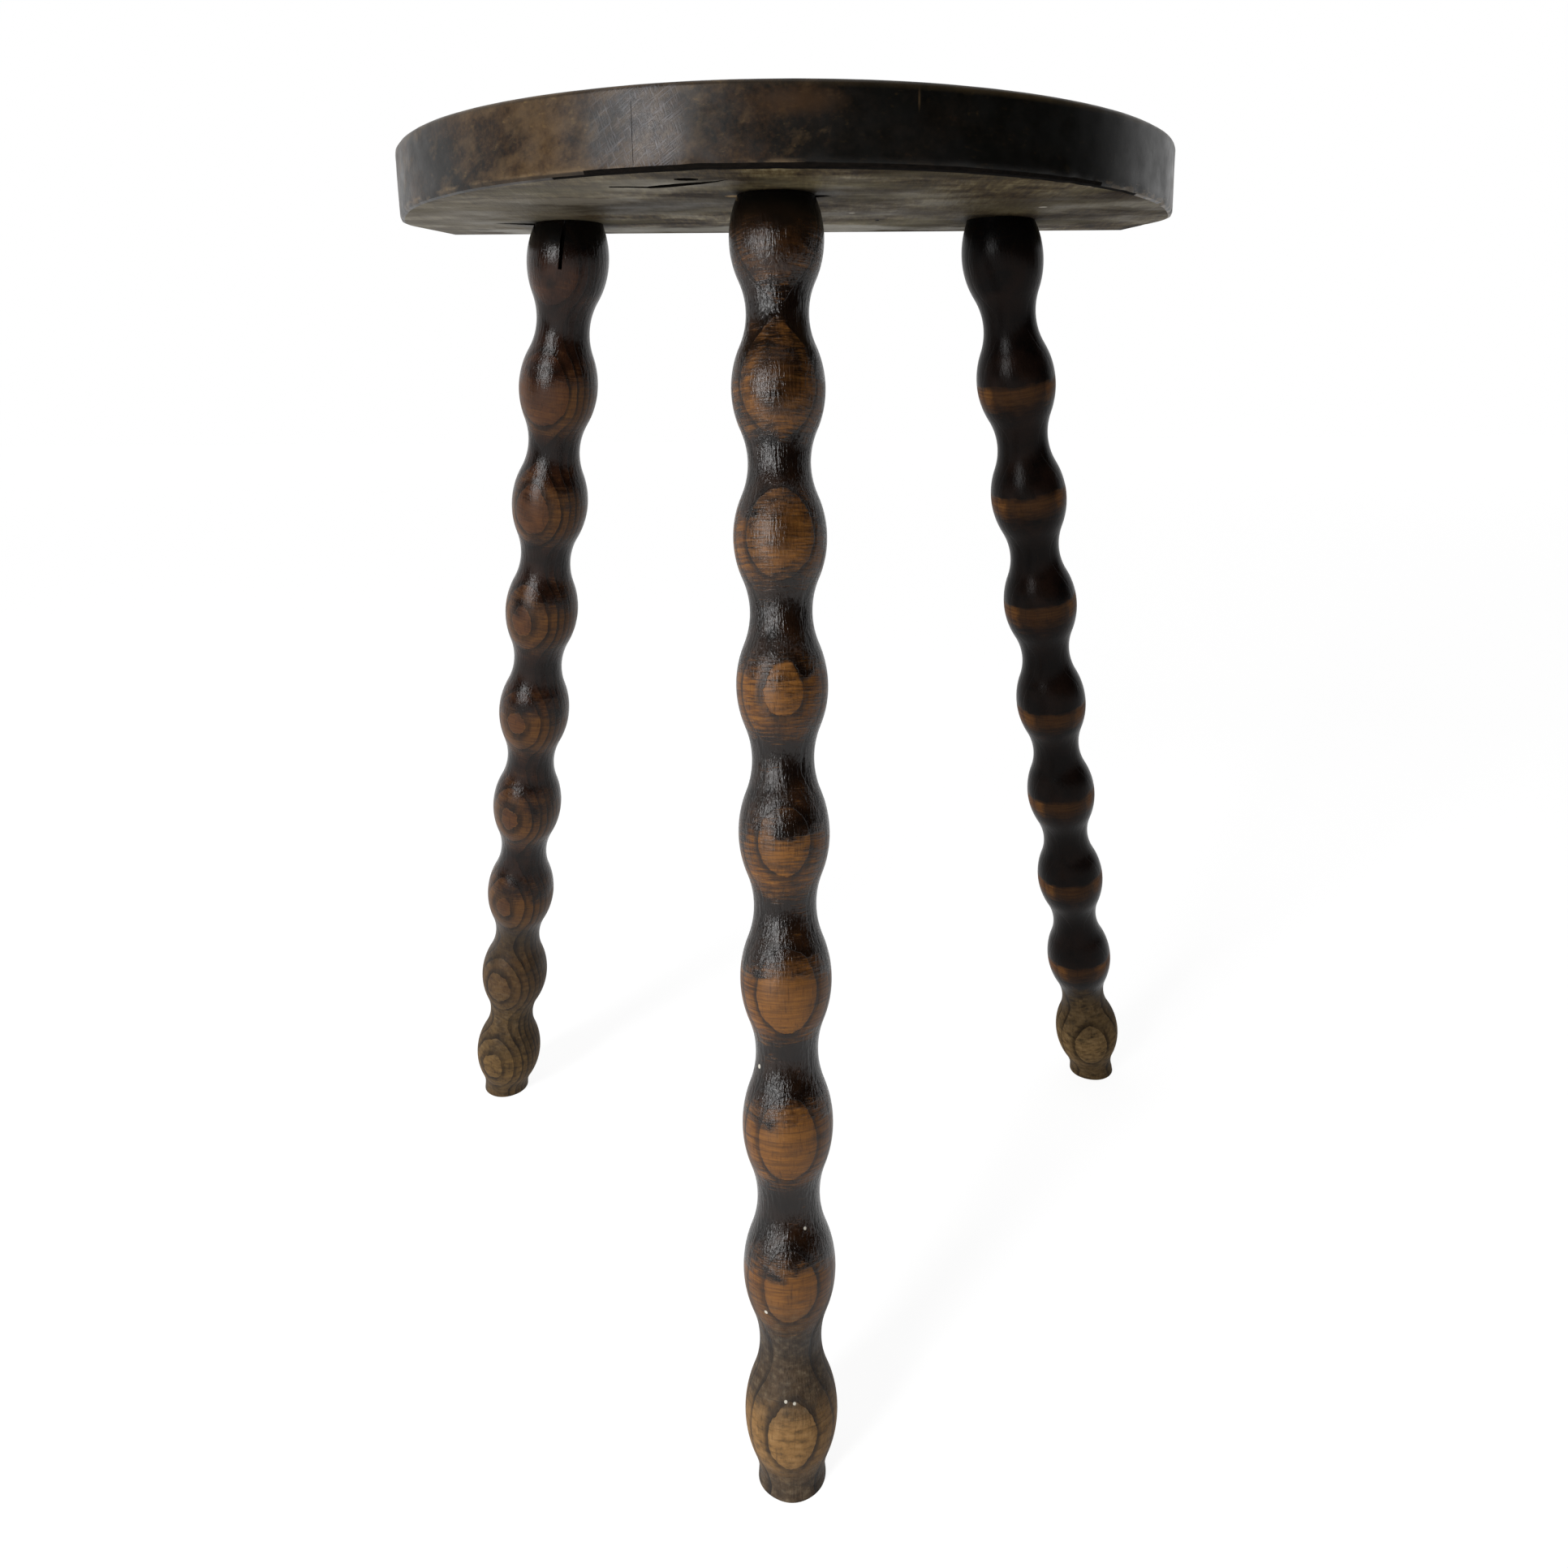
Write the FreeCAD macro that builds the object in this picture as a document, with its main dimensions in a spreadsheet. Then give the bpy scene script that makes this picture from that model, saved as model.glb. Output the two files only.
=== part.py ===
import FreeCAD, Part
import math
import os

import Sketcher

# A three-legged stool: a half-round plank seat on splayed legs, each turned as a string of beads.
# Every leg ends in a round tenon that goes right through the seat and is spread by a wedge.
# The floor is Z = 0, the front leg points to -Y and the straight rear edge of the seat faces +Y.
# Lengths are millimetres and angles are degrees.

SIZES = {
    # the seat plank
    "stool_height": 450,
    "seat_thickness": 24,
    "seat_radius": 153.5,
    "rear_edge_y": 70.5,  # how far behind the stool's middle the straight edge lies
    "corner_setback": 33,  # where the slanted corner leaves the round edge, ahead of the rear edge
    "corner_cut": 12.5,  # how much shorter the rear edge is at each end
    "corner_round": 25,
    "bottom_chamfer": 1.5,
    "top_round": 1.5,
    # the turned legs
    "bead_pitch": 49.7,
    "bead_diameter": 32,
    "neck_diameter": 21.2,
    "bead_fullness": 0.56,  # the share of each slope that belongs to the round bead, not the hollow
    "first_bead_drop": 14,  # from the underside of the seat to the middle of the first bead
    # the tenons and their wedges
    "tenon_diameter": 20,
    "tenon_clearance": 0.1,
    "tenon_root": 12,  # how far the tenon's core runs down into the leg
    "kerf_depth": 18,
    "kerf_mouth": 3.6,
    "kerf_end": 1.2,
    "wedge_clearance": 0.05,
    "wedge_tip_gap": 1.5,
    # where each leg's axis meets the underside, how far it leans and which way it points
    "front_across": -2.5,
    "front_ahead": 100,
    "front_splay": 11.5,
    "front_heading": -88.5,
    "rear_left_across": -84.5,
    "rear_left_ahead": 32,
    "rear_left_splay": 12.9,
    "rear_left_heading": 136.8,
    "rear_right_across": 82.5,
    "rear_right_ahead": 34,
    "rear_right_splay": 14.6,
    "rear_right_heading": 46,
}
LEGS = ("front", "rear_left", "rear_right")
TOLERANCE = 0.01  # for telling which edge of the plank is which

doc = FreeCAD.newDocument("tripod_stool")
sheet = doc.addObject("Spreadsheet::Sheet", "sizes")
for row, (name, value) in enumerate(SIZES.items(), start=1):
    sheet.set(f"A{row}", name)
    sheet.set(f"B{row}", str(value))
    sheet.setAlias(f"B{row}", name)
doc.recompute()


def bind(item, **expressions):
    """Ties properties of a document object to expressions on the sheet."""
    for name, expression in expressions.items():
        item.setExpression(name, expression)


def origin_feature(body, role):
    """One of a body's own origin planes or axes."""
    return next(f for f in body.Origin.OriginFeatures if f.Role == role)


def sketch_on(body, role, name):
    """A new sketch on one of a body's origin planes."""
    sketch = body.newObject("Sketcher::SketchObject", name)
    sketch.AttachmentSupport = [(origin_feature(body, role), "")]
    sketch.MapMode = "FlatFace"
    return sketch


def dimension(sketch, expression, value, kind, *where):
    """Adds a driving dimension to a sketch and ties it to the sheet."""
    index = sketch.addConstraint(Sketcher.Constraint(kind, *where, value))
    sketch.setExpression(f"Constraints[{index}]", expression)


def line(x1, y1, x2, y2):
    return Part.LineSegment(FreeCAD.Vector(x1, y1, 0), FreeCAD.Vector(x2, y2, 0))


def arc(x, y, radius, start, end):
    """An arc that runs anticlockwise between two angles in radians."""
    circle = Part.Circle(FreeCAD.Vector(x, y, 0), FreeCAD.Vector(0, 0, 1), radius)
    return Part.ArcOfCircle(circle, start, end)


def edges(feature, wanted):
    """Names of the edges of a feature whose boxes pass a test."""
    return [f"Edge{i}" for i, e in enumerate(feature.Shape.Edges, 1) if wanted(e.BoundBox)]


def boolean(kind, name, base, tool):
    """A cut, fuse or common of two objects."""
    result = doc.addObject(f"Part::{kind}", name)
    result.Base = base
    result.Tool = tool
    return result


def plank():
    """The seat board: most of a half disc, with its rear corners eased and its edges broken."""
    body = doc.addObject("PartDesign::Body", "seat_board")
    outline = sketch_on(body, "XY_Plane", "seat_outline")
    radius = SIZES["seat_radius"]
    setback = SIZES["corner_setback"]
    half_rear = radius - SIZES["corner_cut"]
    dip = math.asin(setback / radius)
    corner_x = radius * math.cos(dip)
    front = outline.addGeometry(arc(0, 0, radius, math.pi + dip, 2 * math.pi - dip))
    right = outline.addGeometry(line(corner_x, -setback, half_rear, 0))
    rear = outline.addGeometry(line(half_rear, 0, -half_rear, 0))
    left = outline.addGeometry(line(-half_rear, 0, -corner_x, -setback))
    outline.addConstraint([
        Sketcher.Constraint("Coincident", front, 2, right, 1),
        Sketcher.Constraint("Coincident", right, 2, rear, 1),
        Sketcher.Constraint("Coincident", rear, 2, left, 1),
        Sketcher.Constraint("Coincident", left, 2, front, 1),
        Sketcher.Constraint("Coincident", front, 3, -1, 1),
        Sketcher.Constraint("PointOnObject", rear, 1, -1),
        Sketcher.Constraint("Symmetric", rear, 1, rear, 2, -2),
        Sketcher.Constraint("Horizontal", front, 1, front, 2),
    ])
    dimension(outline, "sizes.seat_radius", radius, "Radius", front)
    dimension(outline, "sizes.corner_setback", setback, "DistanceY", front, 2, -1, 1)
    dimension(outline, "sizes.seat_radius - sizes.corner_cut", half_rear, "DistanceX", -1, 1, right, 2)

    board = body.newObject("PartDesign::Pad", "board")
    board.Profile = outline
    bind(board, Length="sizes.seat_thickness")
    doc.recompute()

    corners = body.newObject("PartDesign::Fillet", "eased_corners")
    corners.Base = (board, edges(board, lambda box: box.XLength < TOLERANCE and box.YMax < -TOLERANCE))
    bind(corners, Radius="sizes.corner_round")
    doc.recompute()

    broken = body.newObject("PartDesign::Chamfer", "broken_bottom_edge")
    broken.Base = (corners, edges(corners, lambda box: box.ZMax < TOLERANCE and box.YMin < -TOLERANCE))
    bind(broken, Size="sizes.bottom_chamfer")
    doc.recompute()

    top = SIZES["seat_thickness"]
    rounded = body.newObject("PartDesign::Fillet", "rounded_top_edge")
    rounded.Base = (broken, edges(broken, lambda box: box.ZMin > top - TOLERANCE))
    bind(rounded, Radius="sizes.top_round")
    underside = "sizes.stool_height - sizes.seat_thickness"
    bind(body, Placement=f"placement(vector(0; sizes.rear_edge_y; {underside}); rotation(0; 0; 0))")
    return body


def leg_frame(leg):
    """The place where a leg's axis meets the underside: its Z runs up the leg, its X leans outwards."""
    return (f"placement(vector(sizes.{leg}_across; sizes.rear_edge_y - sizes.{leg}_ahead;"
            f" sizes.stool_height - sizes.seat_thickness);"
            f" rotation(sizes.{leg}_heading; -sizes.{leg}_splay; 0))")


def along_leg(leg, rise, turn="rotation(0; 0; 0)"):
    """A place further up a leg's axis, turned if need be."""
    return f"{leg_frame(leg)} * placement(vector(0; 0; {rise}); {turn})"


def through_seat(leg):
    """The length of a leg's axis inside the seat."""
    return f"sizes.seat_thickness / cos(sizes.{leg}_splay * 1 deg)"


def height_block(name, height):
    """A block that stands on the floor and reaches past every leg, for cutting at a level."""
    block = doc.addObject("Part::Box", name)
    reach = "(sizes.seat_radius + sizes.stool_height)"
    bind(block, Length=f"2 * {reach}", Width=f"2 * {reach}", Height=height)
    bind(block, Placement=f"placement(vector(-{reach}; -{reach}; 0); rotation(0; 0; 0))")
    return block


def mortise(leg):
    """The slanting hole for one tenon, as a rod that runs past both faces of the seat."""
    rod = doc.addObject("Part::Cylinder", f"{leg}_mortise")
    bind(rod,
         Radius="sizes.tenon_diameter / 2 + sizes.tenon_clearance",
         Height=f"{through_seat(leg)} + 2 * sizes.tenon_diameter",
         Placement=along_leg(leg, "-sizes.tenon_diameter"))
    return rod


def turning(leg):
    """A leg as it leaves the lathe: one bead between two necks, repeated down past the floor."""
    body = doc.addObject("PartDesign::Body", f"{leg}_turning")
    profile = sketch_on(body, "XZ_Plane", f"{leg}_bead_profile")
    half = SIZES["bead_pitch"] / 2
    bead = SIZES["bead_diameter"] / 2
    neck = SIZES["neck_diameter"] / 2
    rise = half - SIZES["first_bead_drop"]
    radii = (half ** 2 + (bead - neck) ** 2) / (2 * (bead - neck))
    round_radius = radii * SIZES["bead_fullness"]
    hollow_radius = radii - round_radius
    swing = math.asin(half / radii)
    low = rise - 2 * half
    upper = profile.addGeometry(line(0, rise, neck, rise))
    hollow_x = neck + hollow_radius
    hollow_above = profile.addGeometry(arc(hollow_x, rise, hollow_radius, math.pi, math.pi + swing))
    swell = profile.addGeometry(arc(bead - round_radius, rise - half, round_radius, -swing, swing))
    hollow_below = profile.addGeometry(arc(hollow_x, low, hollow_radius, math.pi - swing, math.pi))
    lower = profile.addGeometry(line(neck, low, 0, low))
    axis = profile.addGeometry(line(0, low, 0, rise))
    profile.addConstraint([
        Sketcher.Constraint("Coincident", upper, 2, hollow_above, 1),
        Sketcher.Constraint("Tangent", hollow_above, 2, swell, 2),
        Sketcher.Constraint("Tangent", swell, 1, hollow_below, 1),
        Sketcher.Constraint("Coincident", hollow_below, 2, lower, 1),
        Sketcher.Constraint("Coincident", lower, 2, axis, 1),
        Sketcher.Constraint("Coincident", axis, 2, upper, 1),
        Sketcher.Constraint("PointOnObject", upper, 1, -2),
        Sketcher.Constraint("Vertical", axis),
        Sketcher.Constraint("Horizontal", upper),
        Sketcher.Constraint("Horizontal", lower),
        Sketcher.Constraint("Horizontal", hollow_above, 3, upper, 2),
        Sketcher.Constraint("Horizontal", hollow_below, 3, lower, 1),
        Sketcher.Constraint("Equal", hollow_above, hollow_below),
    ])
    deep = "(sizes.bead_diameter - sizes.neck_diameter) / 2"
    round_expression = f"sizes.bead_fullness * ((sizes.bead_pitch / 2) ^ 2 + ({deep}) ^ 2) / (2 * ({deep}))"
    dimension(profile, "sizes.neck_diameter / 2", neck, "DistanceX", upper, 1, upper, 2)
    dimension(profile, "sizes.bead_pitch", 2 * half, "DistanceY", axis, 1, axis, 2)
    dimension(profile, "sizes.bead_pitch / 2 - sizes.first_bead_drop", rise, "DistanceY", -1, 1, upper, 1)
    dimension(profile, round_expression, round_radius, "Radius", swell)

    turned = body.newObject("PartDesign::Revolution", f"{leg}_bead")
    turned.Profile = profile
    turned.ReferenceAxis = (profile, ["V_Axis"])
    turned.Angle = 360
    doc.recompute()

    beads = body.newObject("PartDesign::LinearPattern", f"{leg}_beads")
    beads.Originals = [turned]
    beads.Direction = (origin_feature(body, "Z_Axis"), [""])
    beads.Reversed = True
    beads.Mode = "Spacing"
    length = f"(sizes.stool_height - sizes.seat_thickness) / cos(sizes.{leg}_splay * 1 deg)"
    bind(beads,
         Offset="sizes.bead_pitch",
         Occurrences=f"ceil(({length} + sizes.bead_diameter) / sizes.bead_pitch)")
    body.Tip = beads
    bind(body, Placement=leg_frame(leg))
    return body


def tenoned_leg(leg, under_seat, full_height):
    """A turned leg cut off at the floor and at the seat, with its tenon flush with the top of the seat."""
    shank = boolean("Common", f"{leg}_shank", turning(leg), under_seat)
    rod = doc.addObject("Part::Cylinder", f"{leg}_tenon_rod")
    bind(rod,
         Radius="sizes.tenon_diameter / 2",
         Height=f"{through_seat(leg)} + sizes.tenon_root + sizes.tenon_diameter",
         Placement=along_leg(leg, "-sizes.tenon_root"))
    tenon = boolean("Common", f"{leg}_tenon", rod, full_height)
    return boolean("Fuse", f"{leg}_blank", shank, tenon)


def taper(name, leg, tip, slack, half_length):
    """A wedge-shaped solid down a tenon. Its thickness lies along the grain of the seat, which runs in X."""
    solid = doc.addObject("Part::Wedge", name)
    spread = "(sizes.kerf_mouth - sizes.kerf_end) / sizes.kerf_depth"
    overrun = "sizes.tenon_diameter / 2"
    tip_half = f"(sizes.kerf_end + ({tip}) * {spread}) / 2 - {slack}"
    head_half = f"(sizes.kerf_mouth + {overrun} * {spread}) / 2 - {slack}"
    bind(solid,
         Ymin=f"{tip} - sizes.kerf_depth", Ymax=overrun,
         Xmin=f"-({tip_half})", Xmax=tip_half,
         X2min=f"-({head_half})", X2max=head_half,
         Zmin=f"-({half_length})", Zmax=half_length,
         Z2min=f"-({half_length})", Z2max=half_length)
    bind(solid, Placement=along_leg(leg, through_seat(leg), f"rotation(-sizes.{leg}_heading; 0; 90)"))
    return solid


def kerf(leg):
    """The saw cut in a tenon, opened out by its wedge."""
    return taper(f"{leg}_kerf", leg, "0", "0", "sizes.tenon_diameter")


def wedge_blank(leg):
    """A wedge before it is trimmed, with square ends that stay inside the round tenon."""
    chord = "sqrt((sizes.tenon_diameter / 2) ^ 2 - (sizes.kerf_mouth / 2) ^ 2) - sizes.tenon_clearance"
    return taper(f"{leg}_wedge_blank", leg, "sizes.wedge_tip_gap", "sizes.wedge_clearance", chord)


under_seat = height_block("under_seat", "sizes.stool_height - sizes.seat_thickness")
full_height = height_block("full_height", "sizes.stool_height")

mortises = doc.addObject("Part::MultiFuse", "mortises")
mortises.Shapes = [mortise(leg) for leg in LEGS]
seat = boolean("Cut", "bored_seat", plank(), mortises)
seat.Label = "seat"
pieces = [seat]
cuts = [seat]
for leg in LEGS:
    split = boolean("Cut", f"{leg}_split", tenoned_leg(leg, under_seat, full_height), kerf(leg))
    split.Label = f"{leg}_leg"
    wedge = boolean("Common", f"{leg}_trimmed", wedge_blank(leg), full_height)
    wedge.Label = f"{leg}_wedge"
    pieces += [split, wedge]
    cuts.append(split)
doc.recompute()

for item in doc.Objects:
    if "Invalid" in item.State or "Error" in item.State:
        raise RuntimeError(f"{item.Name} did not build: {item.State}")
for piece in pieces:
    if piece.Shape.isNull() or not piece.Shape.isValid() or len(piece.Shape.Solids) != 1:
        raise RuntimeError(f"{piece.Label} is not one valid solid")
for cut in cuts:
    if cut.Shape.Volume >= cut.Base.Shape.Volume:
        raise RuntimeError(f"{cut.Label} was not cut")

os.makedirs("parts", exist_ok=True)
for piece in pieces:
    piece.Shape.exportStep(f"parts/{piece.Label}.step")
    print(f"{piece.Label}: {piece.Shape.Volume / 1000:.1f} cm3")
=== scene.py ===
import functools
import math
import random

import bmesh
import bpy
from mathutils import Matrix, Vector, geometry, noise


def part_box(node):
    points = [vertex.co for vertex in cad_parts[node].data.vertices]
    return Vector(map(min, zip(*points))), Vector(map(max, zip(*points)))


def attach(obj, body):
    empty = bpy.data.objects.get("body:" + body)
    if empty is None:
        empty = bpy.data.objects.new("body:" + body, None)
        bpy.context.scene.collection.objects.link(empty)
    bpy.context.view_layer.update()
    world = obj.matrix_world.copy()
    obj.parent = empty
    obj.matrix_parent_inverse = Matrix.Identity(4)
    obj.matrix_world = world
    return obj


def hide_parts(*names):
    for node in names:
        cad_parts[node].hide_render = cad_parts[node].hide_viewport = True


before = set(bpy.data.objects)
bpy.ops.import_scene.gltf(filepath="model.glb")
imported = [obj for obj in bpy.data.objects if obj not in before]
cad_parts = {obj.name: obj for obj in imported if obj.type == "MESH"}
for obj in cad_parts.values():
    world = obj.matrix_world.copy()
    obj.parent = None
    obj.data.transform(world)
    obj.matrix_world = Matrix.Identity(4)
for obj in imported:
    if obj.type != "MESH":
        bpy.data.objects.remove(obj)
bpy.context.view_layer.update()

# The seat: one half-round plank of ash, sawn and spokeshaved to shape, with a small chamfer below and
# a rounded edge above. Rim and top are stained nearly black and rubbed to a satin; the underside was
# left bare and has gone grey. Three slanting holes are bored through it for the legs.
mm = 0.001
same_point = 1e-6
seat_low, seat_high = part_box("seat")
seat_thickness = seat_high.z - seat_low.z
seat_radius = seat_high.y - seat_low.y
rear_middle = Vector((0, seat_high.y, seat_low.z))
rear_face = rear_middle.y - 10 * same_point
corner_setback = 33 * mm
corner_cut = 12.5 * mm
corner_round = 25 * mm
bottom_chamfer = 1.5 * mm
top_round = 1.5 * mm
rim_step = 2 * mm
rim_rows = 9
straight_cuts = 30


def wander(point, size, seed):
    """A smooth random number from -1 to 1 that changes over a given length."""
    elsewhere = Vector([seed * shift for shift in (7.3, 3.1, 5.7)])
    return noise.noise(point / size + elsewhere)


def last_vertex(swept):
    """The loose end of a line that was spun from one vertex."""
    return next(v for v in swept["geom_last"] if isinstance(v, bmesh.types.BMVert))


def extrude(bm, faces, vector):
    """Pushes faces out along a vector."""
    pushed = bmesh.ops.extrude_face_region(bm, geom=faces)["geom"]
    bmesh.ops.translate(bm, verts=[v for v in pushed if isinstance(v, bmesh.types.BMVert)], vec=vector)


def new_object(name, bm):
    """A mesh object at the origin made from a bmesh."""
    mesh = bpy.data.meshes.new(name)
    bm.to_mesh(mesh)
    bm.free()
    made = bpy.data.objects.new(name, mesh)
    bpy.context.scene.collection.objects.link(made)
    return made


# the right half of the outline, from the middle of the front: the round, an eased corner, two straights
bm = bmesh.new()
corner_angle = math.asin(corner_setback / seat_radius)
slant_start = Vector((seat_radius * math.cos(corner_angle), -corner_setback))
slant_end = Vector((seat_radius - corner_cut, 0))
slant_out = (slant_end - slant_start).orthogonal().normalized()
slant_out *= math.copysign(1, slant_out.x)
ease_in = -slant_out * corner_round
ease_centre = max(
    geometry.intersect_line_sphere_2d(
        slant_start + ease_in, slant_end + ease_in, Vector((0, 0)), seat_radius - corner_round, False),
    key=lambda point: -point.y)
round_angle = math.atan2(ease_centre.x, -ease_centre.y)
ease_angle = ease_centre.angle(slant_out)
tip = bm.verts.new((0, -seat_radius, 0))
for centre, sweep in ((Vector((0, 0)), round_angle), (ease_centre, ease_angle)):
    reach = (tip.co.xy - centre).length
    swept = bmesh.ops.spin(
        bm, geom=[tip], cent=centre.to_3d(), axis=(0, 0, 1), angle=sweep,
        steps=round(reach * sweep / rim_step))
    tip = last_vertex(swept)
rear_corner = bm.verts.new(slant_end.to_3d())
rear_end = bm.verts.new((0, 0, 0))
straights = [bm.edges.new((tip, rear_corner)), bm.edges.new((rear_corner, rear_end))]
bmesh.ops.subdivide_edges(bm, edges=straights, cuts=straight_cuts)
bmesh.ops.mirror(bm, geom=bm.verts[:] + bm.edges[:], merge_dist=same_point, axis="X")
bmesh.ops.contextual_create(bm, geom=bm.edges[:])
bmesh.ops.translate(bm, verts=bm.verts[:], vec=rear_middle)
extrude(bm, bm.faces[:], (0, 0, seat_thickness))
bmesh.ops.recalc_face_normals(bm, faces=bm.faces[:])
for level, offset, segments in ((seat_low.z, bottom_chamfer, 2), (seat_high.z, top_round, 4)):
    rim = [e for e in bm.edges if all(abs(v.co.z - level) < same_point for v in e.verts)]
    if level == seat_low.z:
        rim = [e for e in rim if any(v.co.y < rear_face for v in e.verts)]
    bmesh.ops.bevel(
        bm, geom=rim, offset=offset, offset_type="OFFSET", segments=segments, profile=0.5,
        affect="EDGES", material=-1)
uprights = [e for e in bm.edges if abs(e.verts[0].co.z - e.verts[1].co.z) > seat_thickness / 2]
bmesh.ops.subdivide_edges(bm, edges=uprights, cuts=rim_rows, use_grid_fill=True)
# the spokeshave left the rim slightly wavy, and knocks have nicked its lower edge, deepest at the right
hand_wave = 0.4 * mm
wave_length = 38 * mm
ripple_share = 0.3
ripple_length = 9 * mm
nick_depth = 1.1 * mm
nick_length = 7 * mm
nick_scarcity = 0.25
nick_rise = 0.6
nicked_height = bottom_chamfer + 0.2 * mm
deep_nicks_start = 80 * mm
deepening_length = 40 * mm
for v in bm.verts:
    out = Vector((v.co.x, v.co.y - rear_middle.y, 0)).normalized()
    v.co += out * hand_wave * (wander(v.co, wave_length, 1) + ripple_share * wander(v.co, ripple_length, 3))
    nick = max(0, wander(v.co, nick_length, 2) - nick_scarcity)
    if v.co.z < seat_low.z + nicked_height and v.co.y < rear_face:
        deeper = 1 + max(0, v.co.x - deep_nicks_start) / deepening_length
        v.co -= (out - Vector((0, 0, nick_rise))) * nick_depth * nick * deeper
seat = new_object("half_round_seat", bm)

# The holes are a little wider than the tenons, so that each joint shows as a dark line on the seat.
# Underneath, a long split with a knot hole beside it runs along the grain, a gash and a nick start at leg
# holes, and there is one pin hole. A fine check runs up the rim, left of its middle.
hole_radius = 10.3 * mm
legs = {
    # across and ahead of the middle of the rear edge, then lean and heading in degrees
    "front": (-2.5 * mm, 100 * mm, 11.5, -88.5),
    "rear_left": (-84.5 * mm, 32 * mm, 12.9, 136.8),
    "rear_right": (82.5 * mm, 34 * mm, 14.6, 46),
}
split_depth = 4 * mm
splits = {
    # points along a split under the seat and its half-width at each, in millimetres
    "long_split": ((-54.6, -50.4, 0.8), (-48.4, -49.8, 1.5), (-42.4, -48.9, 1.6), (-41.8, -49.2, 2.2),
                   (-37.7, -50.9, 2.8), (-33.4, -52.9, 2.9), (-29.2, -55, 2.6), (-25, -56.6, 2),
                   (-20.7, -59.2, 1.1), (-15.8, -62.6, 0.2)),
    "gash": ((-113, 35.6, 0.2), (-107, 37, 1.6), (-100, 39, 3), (-94, 39, 3)),
    "nick": ((7.5, -28, 2.6), (11, -28.4, 2.4), (13.5, -29, 1.6), (16, -29, 0.2)),
}
pit_deepening = 1.5
pits = {
    # middle, radius and stretch along the grain, in millimetres
    "knot_hole": (-28.9, -64, 2.6, 1.5),
    "pin_hole": (35.2, 34.2, 0.8, 1),
}
rim_check_middle = (-43 * mm, -76.8 * mm, seat_low.z + 10.5 * mm)
rim_check_length = 17 * mm
rim_check_half_width = 0.08 * mm
rim_check_depth = 1.6 * mm


def leg_matrix(leg):
    """Where a leg's axis meets the underside: Z runs up the leg and X leans outwards."""
    across, ahead, splay, heading = legs[leg]
    turn = Matrix.Rotation(math.radians(heading), 4, "Z")
    lean = Matrix.Rotation(-math.radians(splay), 4, "Y")
    return Matrix.Translation(rear_middle + Vector((across, -ahead, 0))) @ turn @ lean


def carve(piece, cutters):
    """Cuts shapes out of a piece and removes the cutters."""
    for cutter in cutters:
        cut = piece.modifiers.new("cut", "BOOLEAN")
        cut.object = cutter
        cut.solver = "EXACT"
    graph = bpy.context.evaluated_depsgraph_get()
    carved = bpy.data.meshes.new_from_object(piece.evaluated_get(graph))
    piece.modifiers.clear()
    piece.data = carved
    for cutter in cutters:
        bpy.data.objects.remove(cutter)


def shade(piece, crisp_degrees):
    """Smooth shading, broken at edges sharper than an angle."""
    piece.data.polygons.foreach_set("use_smooth", [True] * len(piece.data.polygons))
    piece.data.set_sharp_from_angle(angle=math.radians(crisp_degrees))


cutters = []
for leg in legs:
    bm = bmesh.new()
    bmesh.ops.create_cone(
        bm, cap_ends=True, segments=64, radius1=hole_radius, radius2=hole_radius, depth=4 * seat_thickness)
    bmesh.ops.transform(bm, matrix=leg_matrix(leg), verts=bm.verts[:])
    cutters.append(new_object(f"{leg}_hole", bm))
for name, points in splits.items():
    bm = bmesh.new()
    near = [bm.verts.new((x * mm, (y - w) * mm, seat_low.z - mm)) for x, y, w in points]
    far = [bm.verts.new((x * mm, (y + w) * mm, seat_low.z - mm)) for x, y, w in points]
    bm.faces.new(near + far[::-1])
    extrude(bm, bm.faces[:], (0, 0, mm + split_depth))
    bmesh.ops.recalc_face_normals(bm, faces=bm.faces[:])
    cutters.append(new_object(name, bm))
for name, (x, y, radius, stretch) in pits.items():
    bm = bmesh.new()
    bmesh.ops.create_icosphere(bm, subdivisions=2, radius=radius * mm)
    bmesh.ops.scale(bm, vec=(stretch, 1, pit_deepening), verts=bm.verts[:])
    bmesh.ops.translate(bm, vec=(x * mm, y * mm, seat_low.z), verts=bm.verts[:])
    cutters.append(new_object(name, bm))
bm = bmesh.new()
bmesh.ops.create_cone(bm, cap_ends=True, segments=8, radius1=mm, radius2=mm, depth=rim_check_length)
bmesh.ops.scale(bm, vec=(rim_check_half_width / mm, rim_check_depth / mm, 1), verts=bm.verts[:])
bmesh.ops.translate(bm, vec=rim_check_middle, verts=bm.verts[:])
cutters.append(new_object("rim_check", bm))
carve(seat, cutters)
shade(seat, crisp_degrees=28)


def paint(hex_colour):
    """A linear colour from an sRGB hex value."""
    channels = (int(hex_colour[i:i + 2], 16) / 255 for i in (1, 3, 5))
    return (*(c / 12.92 if c <= 0.04045 else ((c + 0.055) / 1.055) ** 2.4 for c in channels), 1)


def grey(value):
    """A plain number as a ramp's colour."""
    return (value, value, value, 1)


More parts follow.
